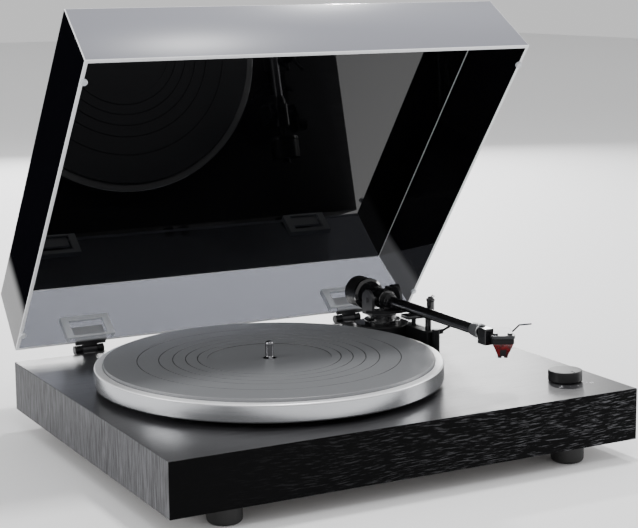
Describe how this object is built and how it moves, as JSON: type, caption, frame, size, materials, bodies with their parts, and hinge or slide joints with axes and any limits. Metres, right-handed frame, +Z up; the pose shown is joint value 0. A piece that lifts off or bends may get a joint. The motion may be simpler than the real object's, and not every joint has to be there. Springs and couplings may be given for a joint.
{
  "type": "turntable record player",
  "caption": "Record player with a black wood-grain box plinth, aluminium platter with a rubber mat, straight tonearm, speed knob and a clear hinged lid standing open.",
  "frame": {"origin": "centre of the part's bounding box in X and Y, on the plane that its feet stand on", "axes": "+X to the right as seen from the front, +Y towards the back where the hinges are, +Z up; the speed knob is at the front right"},
  "size_m": [0.435, 0.4276, 0.389],
  "materials": {
    "black_woodgrain": "dark satin wood-grain wrap",
    "fibreboard": "raw dark board",
    "black_plastic": "fine satin",
    "gloss_black": "polished",
    "arm_black": "polished black paint on aluminium",
    "dark_grey_metal": "satin dark grey paint",
    "platter_metal": "fine turned",
    "mat_rubber": "satin with fine rings",
    "belt_rubber": "ground",
    "foot_rubber": "satin",
    "grommet_rubber": "soft",
    "polished_steel": "polished",
    "zinc_steel": "zinc plated",
    "bearing_brass": "turned",
    "motor_steel": "drawn",
    "board_green": "solder mask",
    "spacer_nylon": "moulded",
    "silver_metal": "satin",
    "stylus_red": "dark translucent red",
    "clear_acrylic": "polished, lightly smoked",
    "clear_soft": "soft clear"
  },
  "bodies": {
    "base": {"plinth": "black_woodgrain", "bottom_cover": "fibreboard", "cover_screws": "zinc_steel", "foot_front_left": "foot_rubber", "foot_front_right": "foot_rubber", "foot_rear_left": "foot_rubber", "foot_rear_right": "foot_rubber", "foot_screws": "zinc_steel", "bearing_housing": "bearing_brass", "thrust_ball": "polished_steel", "motor": "motor_steel", "motor_plate": "zinc_steel", "motor_grommets": "grommet_rubber", "chassis_screws": "zinc_steel", "drive_belt": "belt_rubber", "circuit_board": "board_green", "board_spacers": "spacer_nylon", "socket_panel": "black_plastic", "rca_sockets": "polished_steel", "power_inlet": "black_plastic", "speed_switch": "black_plastic", "arm_base": "black_plastic", "arm_pillar": "black_plastic", "lift_housing": "black_plastic", "lever_post": "black_plastic", "arm_rest": "black_plastic", "hinge_base_left": "black_plastic", "hinge_base_right": "black_plastic", "hinge_screws": "zinc_steel"},
    "platter_assembly": {"platter": "platter_metal", "sub_platter": "black_plastic", "spindle": "polished_steel", "platter_mat": "mat_rubber"},
    "motor_rotor": {"motor_pulley": "silver_metal"},
    "lid_assembly": {"lid": "clear_acrylic", "hinge_pocket_left": "clear_soft", "hinge_pocket_right": "clear_soft", "hinge_leaf_left": "zinc_steel", "hinge_leaf_right": "zinc_steel", "hinge_pins": "polished_steel", "lid_bumpers": "clear_soft"},
    "arm_gimbal": {"arm_yoke": "dark_grey_metal", "yoke_shaft": "polished_steel", "pivot_screws": "polished_steel"},
    "tonearm": {"pivot_block": "arm_black", "arm_tube": "arm_black", "counterweight_shaft": "dark_grey_metal", "headshell": "silver_metal", "cartridge": "black_plastic", "stylus": "stylus_red", "finger_lift": "dark_grey_metal", "cartridge_screws": "polished_steel"},
    "collar": {"locking_collar": "silver_metal"},
    "weight": {"counterweight": "dark_grey_metal"},
    "dial": {"force_dial": "gloss_black"},
    "skate_knob": {"anti_skate_knob": "black_plastic"},
    "lever": {"cue_lever": "black_plastic"},
    "bridge": {"lift_bridge": "black_plastic"},
    "clip": {"arm_clip": "black_plastic"},
    "knob": {"speed_knob": "black_plastic"}
  },
  "joints": [
    {"name": "lid_hinge", "type": "hinge", "parent": "base", "child": "lid_assembly", "pos_m": [0, 0.16273, 0.0635], "axis": [-1, 0, 0], "range_deg": [-52.6, 9.4]},
    {"name": "platter_spin", "type": "hinge", "parent": "base", "child": "platter_assembly", "pos_m": [-0.0465, -0.03647, 0.072], "axis": [0, 0, 1], "continuous": true},
    {"name": "motor_spin", "type": "hinge", "parent": "base", "child": "motor_rotor", "pos_m": [-0.11544, 0.02138, 0.062], "axis": [0, 0, 1], "continuous": true},
    {"name": "arm_swivel", "type": "hinge", "parent": "base", "child": "arm_gimbal", "pos_m": [0.117, 0.04823, 0.106], "axis": [0, 0, -1], "range_deg": [0, 50]},
    {"name": "arm_lift", "type": "hinge", "parent": "arm_gimbal", "child": "tonearm", "pos_m": [0.117, 0.04823, 0.106], "axis": [-1, 0, 0], "range_deg": [0, 7]},
    {"name": "collar_turn", "type": "hinge", "parent": "tonearm", "child": "collar", "pos_m": [0.117, -0.11777, 0.106], "axis": [0, 1, 0], "range_deg": [0, 35]},
    {"name": "counterweight_slide", "type": "slide", "parent": "tonearm", "child": "weight", "axis": [0, 1, 0], "range_m": [-0.002, 0.004]},
    {"name": "dial_turn", "type": "hinge", "parent": "weight", "child": "dial", "pos_m": [0.117, 0.07423, 0.106], "axis": [0, 1, 0], "range_deg": [-360, 720]},
    {"name": "anti_skate_turn", "type": "hinge", "parent": "arm_gimbal", "child": "skate_knob", "pos_m": [0.137, 0.06123, 0.1098], "axis": [1, 0, 0], "range_deg": [0, 270]},
    {"name": "cue_lever_turn", "type": "hinge", "parent": "base", "child": "lever", "pos_m": [0.136, -0.01857, 0.0834], "axis": [1, 0, 0], "range_deg": [0, 38]},
    {"name": "lift_slide", "type": "slide", "parent": "base", "child": "bridge", "axis": [0, 0, 1], "range_m": [-0.005, 0]},
    {"name": "clip_turn", "type": "hinge", "parent": "base", "child": "clip", "pos_m": [0.135, -0.01077, 0.1119], "axis": [0, 0, 1], "range_deg": [0, 130]},
    {"name": "speed_turn", "type": "hinge", "parent": "base", "child": "knob", "pos_m": [0.1795, -0.16177, 0.067], "axis": [0, 0, 1], "range_deg": [-45, 45]}
  ],
  "couplings": [
    {"joint": "motor_spin", "follows": "platter_spin", "ratio": 10},
    {"joint": "cue_lever_turn", "follows": "lift_slide", "rad_per_m": -132.6},
    {"joint": "dial_turn", "follows": "counterweight_slide", "rad_per_m": 3141.6}
  ]
}
